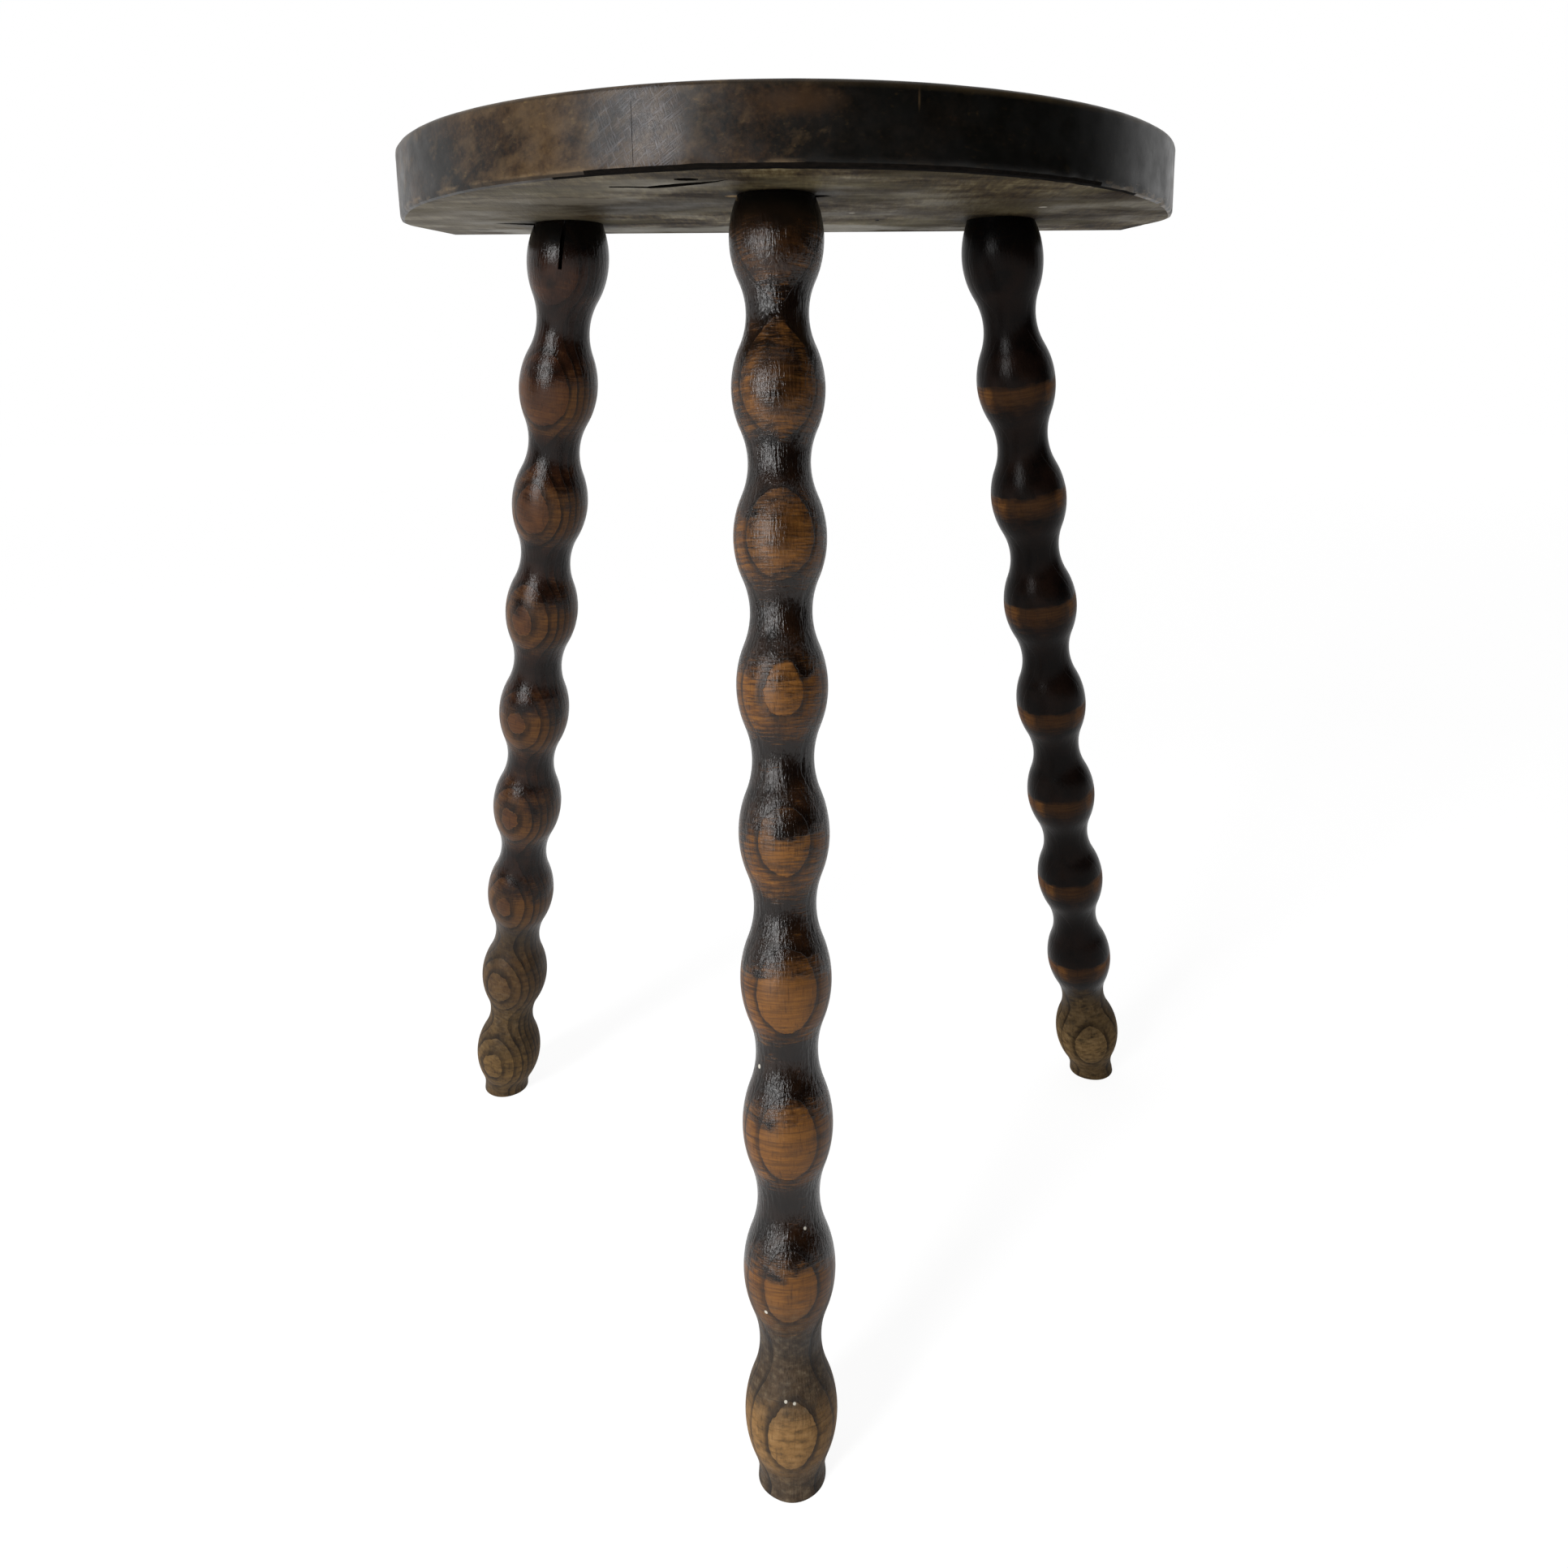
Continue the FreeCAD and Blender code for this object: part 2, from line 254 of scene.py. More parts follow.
def add_node(tree, kind, *inputs, stops=(), **settings):
    """Adds a shader node: inputs in order or by name, as values or links, and stops for a ramp."""
    made = tree.nodes.new("ShaderNode" + kind)
    for name, value in settings.items():
        setattr(made, name, value)
    sockets = [s for s in made.inputs if s.enabled]
    plugs = []
    for i, given in enumerate(inputs):
        if isinstance(given, dict):
            plugs += [(next(s for s in sockets if s.name == name), value) for name, value in given.items()]
        else:
            plugs.append((sockets[i], given))
    for socket, value in plugs:
        if isinstance(value, bpy.types.Node):
            value = next(s for s in value.outputs if s.enabled)
        if isinstance(value, bpy.types.NodeSocket):
            tree.links.new(value, socket)
        else:
            socket.default_value = value
    for i, (position, colour) in enumerate(stops):
        stop = made.color_ramp.elements[i] if i < 2 else made.color_ramp.elements.new(position)
        stop.position = position
        stop.color = colour
    return made


def new_material(name, ior):
    """A material, its surface shader, and the function that adds nodes to it."""
    material = bpy.data.materials.new(name)
    material.use_nodes = True
    surface = material.node_tree.nodes["Principled BSDF"]
    surface.inputs["IOR"].default_value = ior
    return material, surface, functools.partial(add_node, material.node_tree)


def dress(surface, **links):
    """Links nodes to a surface shader's inputs."""
    for name, made in links.items():
        socket = next(s for s in made.outputs if s.enabled)
        surface.id_data.links.new(socket, surface.inputs[name.replace("_", " ")])


def in_millimetres(add, origin=(0, 0, 0), turn=(0, 0, 0)):
    """Object coordinates in millimetres, from an origin in the stool's frame and turned with a piece."""
    return add("Mapping", add("TexCoord").outputs["Object"], {
        "Location": origin, "Rotation": turn, "Scale": (mm, mm, mm)}, vector_type="TEXTURE")


def fibres(add, place, sizes, detail=4, turn=(0, 0, 0)):
    """Noise whose features are as long as the given millimetres along each axis."""
    stretched = add("Mapping", place, {"Rotation": turn, "Scale": sizes}, vector_type="TEXTURE")
    return add("TexNoise", stretched, {"Scale": 1, "Detail": detail, "Roughness": 0.6})


def spot(add, place, middle, reach):
    """How far a point is from the middle of an oval spot given in millimetres: 1 at the spot's edge."""
    shrunk = add("Mapping", place, {"Location": middle, "Scale": reach}, vector_type="TEXTURE")
    return add("VectorMath", shrunk, operation="LENGTH").outputs["Value"]


# Dark stain on planed ash, rubbed and knocked for decades: brown shows where it has worn, amber where
# it has chipped, and old wax gives it a broken satin shine. One patch of the rim is hatched by scratches
# and painted paler, partly as a painted highlight; the chamfer is painted darker as shade, and so is the top
# edge.
stain, surface, add = new_material("dark_stained_ash", 1.48)
place = in_millimetres(add, rear_middle)
axes = add("SeparateXYZ", place)
across = axes.outputs["X"]
rise = axes.outputs["Z"]
half_width = 155
thick = seat_thickness / mm
facing_up = add("SeparateXYZ", add("NewGeometry").outputs["Normal"]).outputs["Z"]
on_rim = add("MapRange", facing_up, 0.6, 0.3, 0, 1)
# the left of the rim is worn more than the right, up to the right corner
rim_wear = add("ValToRGB", add("MapRange", across, -half_width, half_width, 0, 1), stops=(
    (0, grey(0.46)), (0.16, grey(0.47)), (0.26, grey(0.63)), (0.34, grey(0.53)), (0.46, grey(0.5)),
    (0.6, grey(0.32)), (0.9, grey(0.31)), (1, grey(0.55))))
rim_wear = add("MapRange", rim_wear, 0, 1, -0.5, 0.5)
blotches = fibres(add, place, (30, 30, 26), 7)
worn = add("Math", add("MapRange", blotches, 0.2, 0.8, 0.32, 0.68), rim_wear, operation="ADD")
patina = add("MapRange", fibres(add, place, (1.6, 1.6, 1.6), 3), 0.3, 0.7, -0.07, 0.07)
worn = add("Math", worn, patina, operation="ADD")
colour = add("ValToRGB", worn, stops=(
    (0.30, paint("#080705")), (0.42, paint("#120e0a")), (0.52, paint("#281c12")), (0.63, paint("#402f1d")),
    (0.76, paint("#564229"))))
scuffs = fibres(add, place, (10, 10, 6), 8, (0, math.radians(-25), 0))
scuffs = add("Math", scuffs, rim_wear, operation="ADD")
scuffed = add("MapRange", scuffs, 0.5, 0.72, 0, 0.55)
colour = add("Mix", scuffed, colour, paint("#5f4c35"), data_type="RGBA")
flecks = add("MapRange", fibres(add, place, (3, 3, 1.6), 4), 0.6, 0.74, 0, 0.4)
flecks = add("Math", flecks, add("MapRange", scuffs, 0.4, 0.75, 0.1, 1), operation="MULTIPLY")
colour = add("Mix", flecks, colour, paint("#8a7148"), data_type="RGBA")
rim_marks_middle = -100
rim_marks_depth = 300
rim_marks = (
    # across and up to the middle of a mark, its half-width and half-height, colour and strength
    (40.3, 19, 0.6, 4, "#6b563c", 0.32),  # a pale drip
    (5, 18, 16, 5, "#3f2c1b", 0.6),  # a brown cloud
    (146, 6, 9, 9, "#4a3626", 0.8),  # the worn corner at the right
)
for x, z, wide, high, tone, strength in rim_marks:
    near = spot(add, place, (x, rim_marks_middle, z), (wide, rim_marks_depth, high))
    near = add("Math", near, add("MapRange", scuffs, 0.2, 0.8, 0.3, -0.3), operation="ADD")
    near = add("MapRange", near, 1.1, 0.4, 0, strength)
    colour = add("Mix", near, colour, paint(tone), data_type="RGBA")
# knocks show wood just above the chamfer on the left; the chamfer is painted almost black as painted shade,
# the top edge is painted darker, and the lower edge is chipped at the right
up_rim = add("MapRange", rise, 0, thick, 0, 1)
knocks = add("ValToRGB", up_rim, stops=((0.07, grey(1)), (0.12, grey(0))))
for share in (
        add("MapRange", fibres(add, place, (8, 8, 3), 5), 0.5, 0.66, 0, 0.55),
        add("MapRange", across, 0, 25, 1, 0.1)):
    knocks = add("Math", knocks, share, operation="MULTIPLY")
colour = add("Mix", knocks, colour, paint("#75624a"), data_type="RGBA")
# painted shade: a near-black band on the chamfer, and a darker top edge
edges = add("ValToRGB", up_rim, stops=(
    (0.05, grey(0.9)), (0.068, grey(0)), (0.93, grey(0)), (0.96, grey(0.75))))
for share in (add("MapRange", across, -120, -50, 0.35, 1), on_rim):
    edges = add("Math", edges, share, operation="MULTIPLY")
colour = add("Mix", edges, colour, paint("#0b0806"), data_type="RGBA")
chips = add("MapRange", fibres(add, place, (6, 6, 2.5), 6), 0.35, 0.65, -0.3, 0.4)
chips = add("Math", add("MapRange", rise, 5, 0.5, 0, 0.6), chips, operation="ADD")
chips = add("MapRange", chips, 0.5, 0.72, 0, 0.8)
chips = add("Math", chips, add("MapRange", across, 86, 130, 0, 1), operation="MULTIPLY")
colour = add("Mix", chips, colour, paint("#7d6c54"), data_type="RGBA")
# hands have worn the stain off the top edge, most of all on the right
edge_line = add("MapRange", rise, thick - 2.6, thick - 1.2, 0, 0.8)
for share in (
        add("MapRange", across, 20, 80, 0.25, 1),
        add("MapRange", blotches, 0.4, 0.6, 0.3, 1),
        add("MapRange", facing_up, 0.96, 0.75, 0, 1)):
    edge_line = add("Math", edge_line, share, operation="MULTIPLY")
colour = add("Mix", edge_line, colour, paint("#54452f"), data_type="RGBA")
# scratches cross on the front of the rim, left of its middle, drawn about twice as wide as real ones
hatch_zone = add("ValToRGB", add("MapRange", across, -62, -22, 0, 1), stops=(
    (0.1, grey(0)), (0.4, grey(0.9)), (0.7, grey(1)), (0.9, grey(0))))
on_front = add("Math", on_rim, add("MapRange", axes.outputs["Y"], -60, -90, 0, 1), operation="MULTIPLY")
hatch_zone = add("Math", hatch_zone, on_front, operation="MULTIPLY")
long_scratches = fibres(add, place, (7, 7, 0.5), 2, (0, math.radians(-34), 0))
short_scratches = fibres(add, place, (3.2, 3.2, 0.5), 2, (0, math.radians(72), 0))
hatching = add("Math", long_scratches, short_scratches, operation="MAXIMUM")
hatching = add("MapRange", hatching, 0.5, 0.68, 0.05, 1)
hatching = add("Math", hatching, hatch_zone, operation="MULTIPLY")
# the scratched patch is painted pale grey, partly for the scratches and partly as a painted highlight
scratches_and_painted_highlight = add("Math", hatching, 0.32, operation="MULTIPLY")
colour = add("Mix", scratches_and_painted_highlight, colour, paint("#84848a"), data_type="RGBA")
# ash has broad growth rings, which show on the flat top as long arches along the plank, and open pores,
# drawn about twice as wide as real ones; sitting has rubbed the middle brown
plank_pith = (20, -70, -95)
plank_ring_gap = 5.5
arch_stretch = 14
sitting_middle = (0, -62, 24)
sitting_reach = (105, 62, 20)
arch = spot(add, place, plank_pith, (arch_stretch, 1, 1))
arch = add("Math", arch, add("MapRange", fibres(add, place, (130, 26, 26), 3), 0, 1, -9, 9), operation="ADD")
arch = add("Math", add("Math", arch, plank_ring_gap, operation="DIVIDE"), operation="FRACT")
arch = add("ValToRGB", arch, stops=((0.5, grey(0)), (0.9, grey(1)), (0.97, grey(1)), (1, grey(0))))
pores = add("MapRange", fibres(add, place, (14, 0.8, 0.8), 2), 0.5, 0.68, 0, 1)
on_top = add("MapRange", facing_up, 0.6, 0.9, 0, 0.75)
rubbed = add("MapRange", spot(add, place, sitting_middle, sitting_reach), 1.15, 0.3, 0, 1)
for share in (add("MapRange", blotches, 0.35, 0.6, 0.2, 1), on_top):
    rubbed = add("Math", rubbed, share, operation="MULTIPLY")
colour = add("Mix", rubbed, colour, paint("#5f4024"), data_type="RGBA")
lines = add("Math", add("Math", arch, pores, operation="MAXIMUM"), on_top, operation="MULTIPLY")
colour = add("Mix", lines, colour, paint("#130e0a"), data_type="RGBA")
shine = add("MapRange", fibres(add, place, (9, 9, 9), 6), 0.3, 0.7, 0.3, 0.46)
scratches = add("Math", hatching, 0.2, operation="MULTIPLY")
relief = add("Math", add("Math", blotches, scratches, operation="SUBTRACT"), lines, operation="SUBTRACT")
bump = add("Bump", {"Height": relief, "Distance": 0.25 * mm, "Strength": 0.8})
dress(surface, Base_Color=colour, Roughness=shine, Normal=bump)
surface.inputs["Specular IOR Level"].default_value = 0.24

# Bare sawn ash, greyed by air and dust, with darker streaks along the grain and a pale patch where the
# wood has split, a painted sheen along the rim and the rear edge, and dirt and painted shade round the legs.
# It never had a finish, so it is rough and shines only at a low angle.
bare, surface, add = new_material("bare_weathered_ash", 1.45)
place = in_millimetres(add)
streaks = fibres(add, place, (34, 20, 20), 4, (0, 0, math.radians(7)))
fuzz = fibres(add, place, (2, 10, 10), 3)
weathered = add("ValToRGB", add("Mix", 0.3, streaks, fuzz), stops=(
    (0.42, paint("#2a1e10")), (0.48, paint("#483a24")), (0.535, paint("#625437")), (0.58, paint("#7a6c4d")),
    (0.64, paint("#978b6c"))))
dusty = add("MapRange", fibres(add, place, (60, 30, 30), 4), 0.48, 0.64, 0, 0.5)
colour = add("Mix", dusty, weathered, paint("#8c8366"), data_type="RGBA")
damp = fibres(add, place, (44, 22, 22), 4, (0, 0, math.radians(-5)))
damp = add("MapRange", damp, 0.48, 0.62, 0, 0.65)
colour = add("Mix", damp, colour, paint("#352a18"), data_type="RGBA")
# a pale grey band is painted along the rim on the left as painted sheen
any_height = 1e6
reach = spot(add, place, (0, rear_middle.y / mm, 0), (1, 1, any_height))
reach = add("Math", reach, add("MapRange", streaks, 0.3, 0.7, -16, 16), operation="ADD")
painted_sheen = add("Math", add("MapRange", reach, 110, 128, 0, 0.36),
             add("MapRange", add("SeparateXYZ", place).outputs["X"], -10, -60, 0, 1), operation="MULTIPLY")
colour = add("Mix", painted_sheen, colour, paint("#99948a"), data_type="RGBA")
patch_height = 8
patches = [
    # middle of a patch, its reach along and across the grain, colour and strength
    (-62, -4, 46, 20, "#2b2211", 0.75),  # an old stain at the left
    (105, 10, 48, 48, "#3c3326", 0.5),  # a wide one at the right
    # the pale strip at the rear edge is painted sheen
    (-10, 60, 120, 13, "#b3aea2", 0.8),  # a pale strip at the rear edge
    (-34, -58, 26, 9, "#8f897b", 0.55),  # pale torn wood at the long split
    (25, -10, 75, 42, "#352b1e", 0.35),  # a faint stain in the middle
    (-112, 12, 42, 42, "#8a8272", 0.4),  # greyed wood at the left end
    (-72, -20, 24, 9, "#8f8778", 0.6),  # a pale streak left of the front leg
]
# dirt and painted shade darken the wood round each leg
patches += [(x / mm, (rear_middle.y - y) / mm, 24, 19, "#17110c", 0.75) for x, y, *_ in legs.values()]
patches += [
    (-16.5, -29, 4, 3.4, "#b0936a", 1),  # a fresh chip beside the front leg
    (92.8, 1.6, 1.6, 1.4, "#d8cfc0", 1),  # a spot of paint
    (24.6, 13.7, 1.2, 1.2, "#b8ae9c", 1),  # a smaller one
    (35.2, 34, 1, 3.4, "#0a0705", 1),  # the dark mouth of the pin hole
]
for x, y, long, wide, tone, strength in patches:
    near = spot(add, place, (x, y, seat_low.z / mm), (long, wide, patch_height))
    near = add("Math", near, add("MapRange", streaks, 0.3, 0.7, 0.35, -0.35), operation="ADD")
    near = add("MapRange", near, 1, 0.6, 0, strength)
    colour = add("Mix", near, colour, paint(tone), data_type="RGBA")
hairs = add("MapRange", fibres(add, place, (14, 3, 3), 3), 0.52, 0.7, 0, 0.2)
colour = add("Mix", hairs, colour, paint("#2a2119"), data_type="RGBA")
bump = add("Bump", {"Height": add("Math", fuzz, hairs, operation="SUBTRACT"), "Distance": 0.3 * mm})
dress(surface, Base_Color=colour, Normal=bump, Roughness=add("MapRange", streaks, 0.35, 0.65, 0.8, 0.5))
surface.inputs["Specular IOR Level"].default_value = 0.14

# Dirt and old stain packed into the splits and joints, which leaves them almost black and dull. The same
# finish along the front chamfer is painted shade.
dirt_and_shade, surface, add = new_material("packed_dirt_and_painted_shade", 1.45)
place = in_millimetres(add)
dress(surface, Base_Color=add("ValToRGB", fibres(add, place, (3, 1, 1)), stops=(
    (0.35, paint("#050403")), (0.7, paint("#15100c")))))
surface.inputs["Roughness"].default_value = 0.9
surface.inputs["Specular IOR Level"].default_value = 0.1

finishes = [stain, bare, dirt_and_shade]
for finish in finishes:
    seat.data.materials.append(finish)
# dirt lies on walls and floors that are sunk into the seat, inside its rim; on the chamfer the same finish
# is painted shade, which runs along the front and thins out towards both ends
inside_rim = seat_radius - 2 * bottom_chamfer
inside_rear = rear_face - 3 * mm
sunk_low = seat_low.z + 0.7 * mm
sunk_high = seat_high.z - 0.05 * mm
wall_tilt = 0.5
underside_tilt = -0.97
chamfer_tilt = -0.2
chamfer_shade_left = -75 * mm
chamfer_shade_right = 125 * mm
chamfer_shade_left_taper = 25 * mm
chamfer_shade_right_taper = 35 * mm
fullest_chamfer_shade = 1.2
for face in seat.data.polygons:
    x, y, z = face.center
    tilt = face.normal.z
    within = (face.center.xy - rear_middle.xy).length < inside_rim and y < inside_rear
    sunk = sunk_low < z < sunk_high or abs(tilt) < wall_tilt
    thins = min(fullest_chamfer_shade, (x - chamfer_shade_left) / chamfer_shade_left_taper, (chamfer_shade_right - x) / chamfer_shade_right_taper)
    chamfer_shaded = underside_tilt <= tilt < chamfer_tilt and z < seat_low.z + bottom_chamfer * thins
    if within and sunk or chamfer_shaded:
        finish = dirt_and_shade
    elif tilt < underside_tilt:
        finish = bare
    else:
        finish = stain
    face.material_index = finishes.index(finish)
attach(seat, "root")
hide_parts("seat")

# The legs: ash turned between centres into nine beads with deep necks, alike but not equal, then
# stained black and worn back to amber round each bead. A round tenon runs up through the seat. The
# feet are cut level and have lost their finish, and one leg has split a little under the seat.
bead_pitch = 49.7 * mm
bead_radius = 16 * mm
neck_radius = 10.6 * mm
bead_fullness = 0.56
bead_variation = 0.15 * mm
first_bead_drop = 14 * mm
first_neck = bead_pitch / 2 - first_bead_drop
bead_count = 10  # nine beads and the stub of one at the foot
neck_steps = 7
bead_steps = 18
around = 96
unroundness = 0.012
unround_length = 30 * mm
tenon_radius = 10 * mm
shoulder_width = 1 * mm
kerf_mouth = 3.6 * mm
kerf_end = 1.2 * mm
kerf_depth = 18 * mm
cut_merge = 0.3 * mm
foot_stub = 6 * mm
foot_trim = 3 * mm
foot_bevel = 1.8 * mm
foot_spread = 0.04
foot_fray = 0.05
fray_length = 11 * mm
checked_leg = "rear_left"
check_angle = 134
check_length = 20 * mm
check_middle = -6 * mm
check_depth = 3 * mm
check_half_width = 0.8 * mm
# How each leg grew and aged, with a value for each bead from the seat to the foot where there are ten.
# Lengths are in millimetres, angles in degrees, and the rest are shares.
# slim, wrinkled: how much thinner its middle is, and how deep its varnish has crazed
# eye_angle, eye_depths: where the ovals of its rings, or eyes, look and how far from the axis they lie
# ring_gap, ring_lean, late_wood, ringed: the rings' spacing, lean over a bead, dark part and strength
# bareness, wear, eye_wear, side_shade: how worn each bead is, from neck to neck and on eyes, and how much
# painted shade darkens it beside them
# dashed, patchy, streaked, scored: how broken the worn edge and tones are, and how strong the lathe lines
# frayed, soiled: the beads between which the finish ends at the foot, and how dirty the wood there is
# film, amber, eye_tone, raw: colours of the finish, of the wood under it, of eyes and of the bare foot
# satin, gloss: roughness of finish and of worn wood, and how strongly both shine
# specks: side, drop and radius of specks of dried paint
turnings = {
    "front": dict(
        slim=0.5, eye_angle=0, ring_gap=4.8, ring_lean=1.2, late_wood=0.25, ringed=0.92, scored=0.5,
        eye_depths=(10, 11.1, 12.4, 14.4, 13.6, 12.7, 12.8, 13.7, 14, 13),
        bareness=(0.2, 0.47, 0.54, 0.75, 0.54, 0.98, 1, 0.94, 0.8, 0.8),
        wear=((0.22, 0), (0.42, 0.45), (0.47, 1), (0.7, 1), (0.95, 0)),
        eye_wear=0.72, side_shade=0.45, dashed=0.24, patchy=0.3, streaked=(0.12, 0.88),
        frayed=(7.55, 8.05), soiled=0.92, film=("#110a06", "#352011"), eye_tone=("#82572a", 0.35),
        amber=("#2a1807", "#6d4216", "#8f5e24"), raw=("#5e472a", "#8f6b3e", "#a47e4f"),
        satin=(0.2, 0.46), gloss=0.36, wrinkled=0.4,
        specks=((-60, 291, 0.6), (-34, 371, 0.5), (-8, 400.5, 0.4), (4, 401, 0.4), (27, 344, 0.4))),
    "rear_left": dict(
        slim=0.2, eye_angle=114, ring_gap=2.6, ring_lean=2.2, late_wood=0.42, ringed=0.95, scored=0.15,
        eye_depths=(12, 12.2, 14.4, 15, 15.2, 15.4, 15.4, 14.9, 15.2, 14),
        bareness=(0.05, 0.64, 0.62, 0.66, 0.66, 0.62, 0.74, 0.9, 0.9, 0.9),
        wear=((0.05, 0), (0.4, 0.6), (0.5, 1), (0.68, 1), (0.95, 0)),
        eye_wear=0.4, side_shade=1, dashed=0.15, patchy=0.3, streaked=(0.35, 0.75),
        frayed=(6.3, 7.9), soiled=0.45, film=("#190e09", "#402516"), eye_tone=("#452616", 0.6),
        amber=("#3c2411", "#5f3d1e", "#7d562d"), raw=("#443420", "#6e5533", "#866940"),
        satin=(0.2, 0.44), gloss=0.22, wrinkled=0.22, specks=()),
    "rear_right": dict(
        slim=0.2, eye_angle=220, ring_gap=5, ring_lean=0, late_wood=0.25, ringed=0.5, scored=0.3,
        eye_depths=(9.3, 9.3, 9.2, 9.4, 9.2, 9.3, 9.5, 11, 14.2, 13),
        bareness=(0.05, 0.85, 0.85, 0.95, 1, 0.9, 0.9, 0.8, 0.7, 0.7),
        wear=((0.42, 0), (0.47, 0.8), (0.5, 1), (0.56, 0.7), (0.66, 0.24), (0.9, 0)),
        eye_wear=0, side_shade=1, dashed=0.14, patchy=0.1, streaked=(0.2, 0.8),
        frayed=(7.75, 8.2), soiled=0.5, film=("#0a0706", "#1e130e"), eye_tone=("#6d4a26", 0.3),
        amber=("#3a2210", "#6b421f", "#8a6034"), raw=("#4b3d29", "#846a46", "#9c8058"),
        satin=(0.28, 0.5), gloss=0.07, wrinkled=0.12, specks=()),
}


def on_leg(angle, height, reach):
    """A point beside a leg's axis, at an angle in degrees and lengths up and out."""
    turn = math.radians(angle)
    return Vector((reach * math.cos(turn), reach * math.sin(turn), height))


def drying_check(leg):
    """A cutter for the narrow upright split at the top of a leg."""
    bm = bmesh.new()
    bmesh.ops.create_cone(bm, cap_ends=True, segments=12, radius1=mm, radius2=mm, depth=check_length)
    bmesh.ops.scale(bm, vec=(check_depth / mm, check_half_width / mm, 1), verts=bm.verts[:])
    bmesh.ops.rotate(bm, matrix=Matrix.Rotation(math.radians(check_angle), 3, "Z"), verts=bm.verts[:])
    bmesh.ops.translate(bm, vec=on_leg(check_angle, check_middle, bead_radius - mm), verts=bm.verts[:])
    bmesh.ops.transform(bm, matrix=leg_matrix(leg), verts=bm.verts[:])
    return new_object("drying_check", bm)


def saw_kerf(leg):
    """A cutter for the saw cut across the top of a tenon, which the wedge has opened out."""
    splay, heading = (math.radians(angle) for angle in legs[leg][2:])
    head_width = 2 * kerf_mouth - kerf_end
    bm = bmesh.new()
    bmesh.ops.create_cube(bm, size=1)
    bmesh.ops.scale(bm, vec=(kerf_end, 4 * tenon_radius, 2 * kerf_depth), verts=bm.verts[:])
    head = [v for v in bm.verts if v.co.z > 0]
    bmesh.ops.scale(bm, vec=(head_width / kerf_end, 1, 1), verts=head)
    bmesh.ops.rotate(bm, matrix=Matrix.Rotation(-heading, 3, "Z"), verts=bm.verts[:])
    bmesh.ops.translate(bm, vec=(0, 0, seat_thickness / math.cos(splay)), verts=bm.verts[:])
    bmesh.ops.transform(bm, matrix=leg_matrix(leg), verts=bm.verts[:])
    return new_object("saw_kerf", bm)


def turned_leg(leg, seed, slim):
    """One leg in the stool's frame: spun beads, a level foot, a shoulder under the seat and a tenon."""
    splay = math.radians(legs[leg][2])
    level = Vector((math.sin(splay), 0, math.cos(splay)))
    length = seat_low.z / math.cos(splay)
    chance = random.Random(seed)
    bm = bmesh.new()
    top = first_neck
    tip = bm.verts.new((neck_radius, 0, top))
    for count in range(bead_count):
        thinned = slim * mm * math.sin(count / (bead_count - 1) * math.pi)
        swell = bead_radius + chance.uniform(-bead_variation, bead_variation) - thinned
        half, rise = bead_pitch / 2, swell - neck_radius
        radii = (half ** 2 + rise ** 2) / (2 * rise)
        bead_arc = radii * bead_fullness
        hollow_arc = radii - bead_arc
        swing = math.asin(half / radii)
        for x, z, sweep, steps in (
                (neck_radius + hollow_arc, top, -swing, neck_steps),
                (swell - bead_arc, top - half, 2 * swing, bead_steps),
                (neck_radius + hollow_arc, top - bead_pitch, -swing, neck_steps)):
            tip = last_vertex(bmesh.ops.spin(
                bm, geom=[tip], cent=(x, 0, z), axis=(0, 1, 0), angle=sweep, steps=steps))
        top -= bead_pitch
    bmesh.ops.spin(
        bm, geom=bm.verts[:] + bm.edges[:], cent=(0, 0, 0), axis=(0, 0, 1), angle=2 * math.pi,
        steps=around, use_merge=True)
    bmesh.ops.remove_doubles(bm, verts=bm.verts[:], dist=same_point)
    trim = foot_trim / math.cos(splay)
    for height, outward in ((trim - length, -level), (0, level)):
        bmesh.ops.bisect_plane(
            bm, geom=bm.verts[:] + bm.edges[:] + bm.faces[:], plane_co=(0, 0, height), plane_no=outward,
            clear_outer=True)
    bmesh.ops.remove_doubles(bm, verts=[v for v in bm.verts if v.is_boundary], dist=cut_merge)
    caps = bmesh.ops.holes_fill(bm, edges=[e for e in bm.edges if e.is_boundary], sides=0)["faces"]
    bmesh.ops.recalc_face_normals(bm, faces=bm.faces[:])
    foot, shoulder = sorted(caps, key=lambda f: f.calc_center_median().z)
    # the foot is cut short, then drawn down to the floor, so that its worn edge comes out even
    extrude(bm, [foot], (0, 0, -trim))
    bmesh.ops.bevel(
        bm, geom=list(foot.edges), offset=foot_bevel, offset_type="OFFSET", segments=4, profile=0.5,
        affect="EDGES", material=-1)
    # seasoned wood is never quite round
    for v in bm.verts:
        v.co.xy *= 1 + unroundness * wander(v.co, unround_length, seed)
    bmesh.ops.inset_region(bm, faces=[shoulder], thickness=shoulder_width)
    for v in shoulder.verts:
        v.co.xy = v.co.xy.normalized() * tenon_radius
        v.co.z = -v.co.x * math.tan(splay)
    extrude(bm, [shoulder], (0, 0, seat_thickness / math.cos(splay)))
    bmesh.ops.recalc_face_normals(bm, faces=bm.faces[:])
    bmesh.ops.transform(bm, matrix=leg_matrix(leg), verts=bm.verts[:])
    # the foot has spread and frayed a little where it stands on the floor
    axis = leg_matrix(leg).to_3x3() @ Vector((0, 0, 1))
    for v in bm.verts:
        if v.co.z < foot_stub:
            middle = leg_matrix(leg).translation + axis * (v.co.z - seat_low.z) / axis.z
            spread = foot_spread + foot_fray * wander(v.co, fray_length, seed)
            v.co.xy += (v.co.xy - middle.xy) * spread * (1 - v.co.z / foot_stub)
            v.co.z = max(v.co.z, 0)
    return new_object(f"turned_{leg}_leg", bm)


# in millimetres, as all that is drawn on the legs
pith_distance = 60
deepest_eye = 20
end_grain_height = 14
speck_blur = 0.25


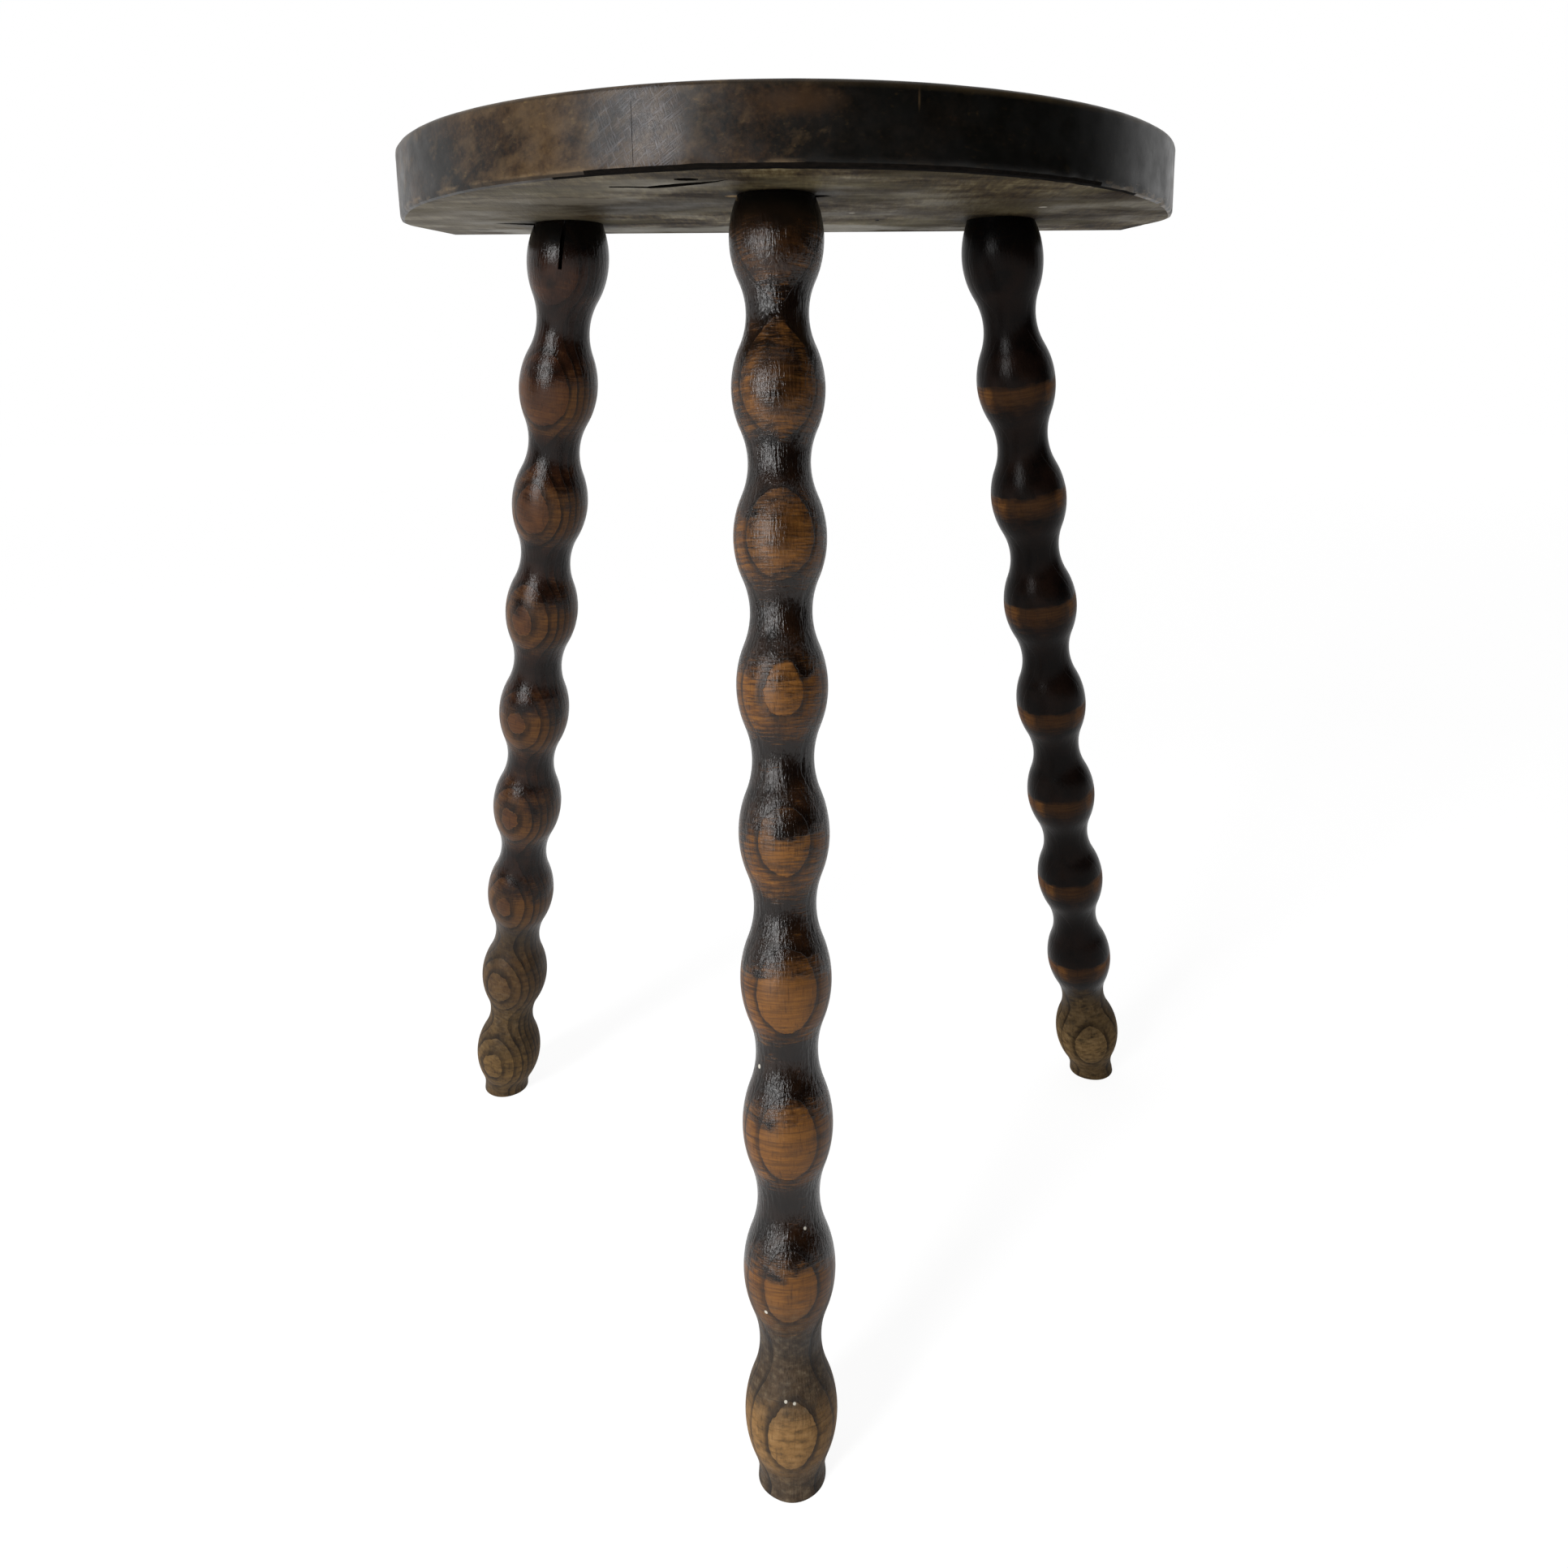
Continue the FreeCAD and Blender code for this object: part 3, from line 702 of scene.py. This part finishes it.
def turned_ash(leg, look):
    """Turned ash under old dark varnish: black in the necks, partly as painted shade, amber on rubbed beads,
    ringed by its grain.
    """
    material, surface, add = new_material(f"stained_turned_ash_{leg}", 1.48)
    matrix = leg_matrix(leg)
    place = in_millimetres(add, matrix.translation, matrix.to_euler())
    height = add("SeparateXYZ", place).outputs["Z"]
    along = add("MapRange", height, first_neck / mm, (first_neck - bead_pitch) / mm, 0, 1, clamp=False)
    whole = add("Math", along, bead_count, operation="DIVIDE")
    middles = [(i + 0.5) / bead_count for i in range(bead_count)]

    def by_bead(values, blend):
        """A value for each bead, which blends into the next one's between their middles."""
        made = add("ValToRGB", whole, stops=[(p, grey(v)) for p, v in zip(middles, values)])
        made.color_ramp.interpolation = blend
        return made

    # growth rings: shells about a distant pith, whose depth in each bead sets how large its eye is
    pith = on_leg(look["eye_angle"], 0, pith_distance)
    shell = add("VectorMath", place, (1, 1, 0), operation="MULTIPLY")
    shell = add("VectorMath", shell, pith, operation="ADD")
    shell = add("VectorMath", shell, operation="LENGTH").outputs["Value"]
    depth = by_bead([d / deepest_eye for d in look["eye_depths"]], "EASE")
    depth = add("MapRange", depth, 0, 1, pith_distance, pith_distance + deepest_eye)
    shell = add("Math", shell, depth, operation="SUBTRACT")
    lean = add("Math", whole, by_bead(middles, "EASE"), operation="SUBTRACT")
    lean = add("Math", lean, look["ring_lean"] * bead_count, operation="MULTIPLY")
    shell = add("Math", shell, lean, operation="ADD")
    waver = add("MapRange", fibres(add, place, (8, 8, 14), 4), 0, 1, -0.8, 0.8)
    shell = add("Math", shell, waver, operation="ADD")
    rings = add("Math", shell, look["ring_gap"], operation="DIVIDE")
    late = look["late_wood"]
    ring = add("ValToRGB", add("Math", rings, operation="FRACT"), stops=(
        (1 - 2.2 * late, grey(0)), (1 - late, grey(0.22)), (1 - late / 2, grey(0.8)), (0.985, grey(1)),
        (1, grey(0))))
    in_eye = add("MapRange", rings, -0.01, 0.03, 0, 1)
    ring = add("Math", ring, in_eye, operation="SUBTRACT", use_clamp=True)
    broken = add("MapRange", fibres(add, place, (5, 5, 16), 3), 0.36, 0.58, 0.6, 1)
    ring = add("Math", ring, broken, operation="MULTIPLY")
    # the dark finish is worn off in a band round each bead, sharp above and fading below, and off the eyes
    # of the upper beads
    patches = fibres(add, place, (12, 12, 10), 5)
    dashes = fibres(add, place, (6, 6, 0.8), 3)
    lathe_lines = fibres(add, place, (30, 30, 0.6), 3)
    each = add("TexWhiteNoise", {"W": add("Math", along, operation="FLOOR")}, noise_dimensions="1D")
    turn_line = add("Math", add("Math", along, operation="FRACT"),
                    add("MapRange", each.outputs["Value"], 0, 1, -0.04, 0.04), operation="ADD")
    patchy = look["patchy"]
    band = add("Math", turn_line, add("MapRange", patches, 0, 1, -patchy / 3, patchy / 3), operation="ADD")
    band = add("ValToRGB", band, stops=[(p, grey(v)) for p, v in look["wear"]])
    lifted = add("Math", in_eye, add("MapRange", along, 4.8, 3.4, 0, look["eye_wear"]), operation="MULTIPLY")
    band = add("Math", band, lifted, operation="MAXIMUM")
    band = add("Math", band, by_bead(look["bareness"], "LINEAR"), operation="MULTIPLY")
    ragged = add("Math", add("MapRange", dashes, 0.25, 0.75, -look["dashed"], look["dashed"]),
                 add("MapRange", patches, 0.25, 0.75, -patchy, patchy), operation="ADD")
    bared = add("MapRange", add("Math", band, ragged, operation="ADD"), 0.2, 0.75, 0, 1)
    # a crown of wrinkled finish is left on the widest eyes, and the collar under the seat was never rubbed;
    # it is painted near-black, partly soot and partly painted shadow under the seat, and grime and painted
    # shade darken the necks
    crown = add("Math", shell, add("MapRange", patches, 0.3, 0.7, -1, 1), operation="ADD")
    collar_soot_and_shadow = add("Math", height, add("MapRange", patches, 0, 1, -8, 8), operation="ADD")
    collar_soot_and_shadow = add("MapRange", collar_soot_and_shadow, -6, -16, 0, 1)
    for share in (
            add("MapRange", crown, 2.4, 3.8, 1, 0.25),
            # away from the eyes the beads are painted less worn, as painted shade on the leg's sides
            add("MapRange", shell, -11, -4, look["side_shade"], 1),
            collar_soot_and_shadow):
        bared = add("Math", bared, share, operation="MULTIPLY")
    dark = add("ValToRGB", patches, stops=[(p, paint(t)) for p, t in zip((0.35, 0.7), look["film"])])
    neck_grime_and_shade = add("ValToRGB", turn_line, stops=(
        (0, grey(0.75)), (0.22, grey(0)), (0.75, grey(0)), (0.97, grey(0.75))))
    dark = add("Mix", neck_grime_and_shade, dark, paint("#0c0807"), data_type="RGBA")
    dark = add("Mix", collar_soot_and_shadow, paint("#070606"), dark, data_type="RGBA")
    streaked = add("MapRange", add("Mix", 0.4, lathe_lines, dashes), 0.4, 0.6, *look["streaked"])
    tone = add("ValToRGB", streaked, stops=[(p, paint(t)) for p, t in zip((0, 0.5, 1), look["amber"])])
    eye_tone, eye_share = look["eye_tone"]
    tinted = add("Math", in_eye, eye_share, operation="MULTIPLY")
    tone = add("Mix", tinted, tone, paint(eye_tone), data_type="RGBA")
    colour = add("Mix", bared, dark, tone, data_type="RGBA")
    # the lowest bead has lost its finish: grey above its widest line, tan below, dirty at the floor
    frayed = add("Math", along, add("MapRange", patches, 0, 1, -0.4, 0.4), operation="ADD")
    frayed = add("MapRange", frayed, *look["frayed"], 0, 0.94)
    raw = add("ValToRGB", fibres(add, place, (4, 4, 2), 6), stops=[
        (p, paint(t)) for p, t in zip((0.32, 0.5, 0.68), look["raw"])])
    dull = add("Math", whole, add("MapRange", patches, 0, 1, -0.008, 0.008), operation="ADD")
    dull = add("ValToRGB", dull, stops=(
        (0.8, grey(1)), (0.828, grey(0.9)), (0.842, grey(0.1)), (0.855, grey(0)), (0.87, grey(0.1)),
        (0.886, grey(0.95))))
    soiled = add("ValToRGB", fibres(add, place, (3, 3, 2), 6), stops=(
        (0.38, paint("#221b15")), (0.54, paint("#42382d")), (0.72, paint("#6e6250"))))
    raw = add("Mix", add("Math", dull, look["soiled"], operation="MULTIPLY"), raw, soiled, data_type="RGBA")
    colour = add("Mix", frayed, colour, raw, data_type="RGBA")
    # the sawn top of the tenon shows stained end grain, with pores drawn about twice as wide as real ones
    end_grain = add("MapRange", height, end_grain_height, end_grain_height + 1, 0, 1)
    sawn = add("ValToRGB", fibres(add, place, (0.8, 0.8, 20), 2), stops=(
        (0.38, paint("#20150d")), (0.5, paint("#4a3220")), (0.62, paint("#6b4a2c"))))
    colour = add("Mix", end_grain, colour, sawn, data_type="RGBA")
    ringed = add("Math", ring, add("MapRange", frayed, 0, 1, look["ringed"], 0.9), operation="MULTIPLY")
    colour = add("Mix", ringed, colour, paint("#0f0805"), data_type="RGBA")
    # pores run up the leg, drawn as wide as on its end grain, the lathe left fine lines round it, and specks
    # of pale paint have dried on one leg
    pores = add("MapRange", fibres(add, place, (0.8, 0.8, 7), 2), 0.56, 0.72, 0, 0.45)
    marks = add("Math", pores, add("MapRange", lathe_lines, 0.6, 0.7, 0, look["scored"]), operation="MAXIMUM")
    colour = add("Mix", marks, colour, paint("#1b110a"), data_type="RGBA")
    for angle, down, radius in look["specks"]:
        swing = math.tau * (first_neck / mm + down) / (bead_pitch / mm)
        reach = (bead_radius + neck_radius - (bead_radius - neck_radius) * math.cos(swing)) / 2 / mm
        speck = add("VectorMath", place, on_leg(angle, -down, reach), operation="DISTANCE").outputs["Value"]
        speck = add("MapRange", speck, radius + speck_blur, radius, 0, 1)
        colour = add("Mix", speck, colour, paint("#d8d2c4"), data_type="RGBA")
    shine = add("Mix", frayed, add("MapRange", bared, 0, 1, *look["satin"]), 0.7)
    # the old varnish has crazed into upright wrinkles, drawn about twice as wide as real ones
    wrinkles = add("Math", fibres(add, place, (0.9, 0.9, 5), 3), add("MapRange", bared, 0, 1, 1, 0.3),
                   operation="MULTIPLY")
    relief = add("Math", wrinkles, add("Math", ring, 0.4, operation="MULTIPLY"), operation="SUBTRACT")
    bump = add("Bump", {"Height": relief, "Distance": look["wrinkled"] * mm})
    dress(surface, Base_Color=colour, Roughness=shine, Normal=bump)
    surface.inputs["Specular IOR Level"].default_value = look["gloss"]
    return material


for seed, (leg, look) in enumerate(turnings.items(), start=11):
    piece = turned_leg(leg, seed, look["slim"])
    cutters = [saw_kerf(leg)]
    if leg == checked_leg:
        cutters.append(drying_check(leg))
    carve(piece, cutters)
    shade(piece, crisp_degrees=35)
    piece.data.materials.append(turned_ash(leg, look))
    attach(piece, "root")
    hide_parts(f"{leg}_leg")

# The wedges: thin slips of split oak, driven into a saw cut across each tenon and pared off flush.
# They were never stained, so only handling has darkened their end grain.
oak, surface, add = new_material("split_oak_wedge", 1.48)
slip = add("ValToRGB", fibres(add, in_millimetres(add), (0.7, 2, 6), 5), stops=(
    (0.35, paint("#4a3521")), (0.7, paint("#8a6a44"))))
dress(surface, Base_Color=slip)
surface.inputs["Roughness"].default_value = 0.5
for leg in legs:
    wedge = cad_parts[f"{leg}_wedge"]
    wedge.data.materials.clear()
    wedge.data.materials.append(oak)

# The studio: a pale floor that keeps the stool's shadow, a white surround, one soft light at the front
# left and a dark screen round the front, behind the light, that keeps the polished wood deep.
floor_size = 6
floor_white = 1.3
floor_white_share = 0.7
bm = bmesh.new()
bmesh.ops.create_grid(bm, x_segments=1, y_segments=1, size=floor_size)
floor = new_object("floor", bm)


def seen_directly(add):
    """1 for rays that show the background itself, 0 for rays that carry its light to the stool."""
    path = add("LightPath")
    seen = add("Math", path.outputs["Is Camera Ray"], path.outputs["Is Glossy Ray"], operation="MAXIMUM")
    return add("Math", seen, path.outputs["Is Transmission Ray"], operation="MAXIMUM")


pale, surface, add = new_material("pale_floor", 1.45)
surface.inputs["Base Color"].default_value = paint("#e7e7e7")
surface.inputs["Roughness"].default_value = 1
whitened = add("MixShader", add("Math", seen_directly(add), floor_white_share, operation="MULTIPLY"), surface,
               add("Emission", {"Strength": floor_white}))
pale.node_tree.links.new(whitened.outputs[0], pale.node_tree.nodes["Material Output"].inputs["Surface"])
floor.data.materials.append(pale)

screen_reach = 3.2
screen_height = 4.1
screen_start = math.radians(-172)
screen_sweep = math.radians(187)
bm = bmesh.new()
foot_end, head_end = (
    bm.verts.new((screen_reach * math.cos(screen_start), screen_reach * math.sin(screen_start), z))
    for z in (0, screen_height))
post = bm.edges.new((foot_end, head_end))
bmesh.ops.spin(
    bm, geom=[foot_end, head_end, post], cent=(0, 0, 0), axis=(0, 0, 1), angle=screen_sweep, steps=24)
screen = new_object("dark_screen", bm)
screen.visible_camera = False
black, surface, add = new_material("black_cloth_screen", 1.45)
surface.inputs["Base Color"].default_value = paint("#1a1a1a")
surface.inputs["Roughness"].default_value = 1
surface.inputs["Specular IOR Level"].default_value = 0
screen.data.materials.append(black)

fill_light = 0.35
world = bpy.data.worlds.new("white_surround")
bpy.context.scene.world = world
world.use_nodes = True
backdrop = world.node_tree.nodes["Background"]
backdrop.inputs["Color"].default_value = paint("#ffffff")
add = functools.partial(add_node, world.node_tree)
dress(backdrop, Strength=add("MapRange", seen_directly(add), 0, 1, fill_light, 1))

lamp_place = Vector((-1.0, -1.3, 0.75))
lamp_target = Vector((0, 0, 0.25))
lamp_watts = 26
lamp_width = 0.42
lamp_height = 1
key = bpy.data.lights.new("soft_window", "AREA")
key.shape = "RECTANGLE"
key.size = lamp_width
key.size_y = lamp_height
key.energy = lamp_watts
lamp = bpy.data.objects.new("soft_window", key)
lamp.location = lamp_place
lamp.rotation_euler = (lamp_target - lamp_place).to_track_quat("-Z", "Y").to_euler()
bpy.context.scene.collection.objects.link(lamp)

# The camera stands low and close in front, where the photograph was taken from.
photo_side = 1932
focal_pixels = 1400
centre_pixel = (995, 790)
camera_place = Vector((7, -432, 368.4)) * mm
camera_pitch = -13.25
camera_roll = -0.4
lens = bpy.data.cameras.new("photo_view")
lens.sensor_width = 36
lens.lens = focal_pixels / photo_side * lens.sensor_width
lens.shift_x = 0.5 - centre_pixel[0] / photo_side
lens.shift_y = centre_pixel[1] / photo_side - 0.5
camera = bpy.data.objects.new("photo_view", lens)
camera.matrix_world = (
    Matrix.Translation(camera_place)
    @ Matrix.Rotation(math.radians(90 + camera_pitch), 4, "X")
    @ Matrix.Rotation(math.radians(camera_roll), 4, "Z"))
bpy.context.scene.collection.objects.link(camera)
bpy.context.scene.camera = camera
bpy.context.scene.view_settings.view_transform = "Standard"
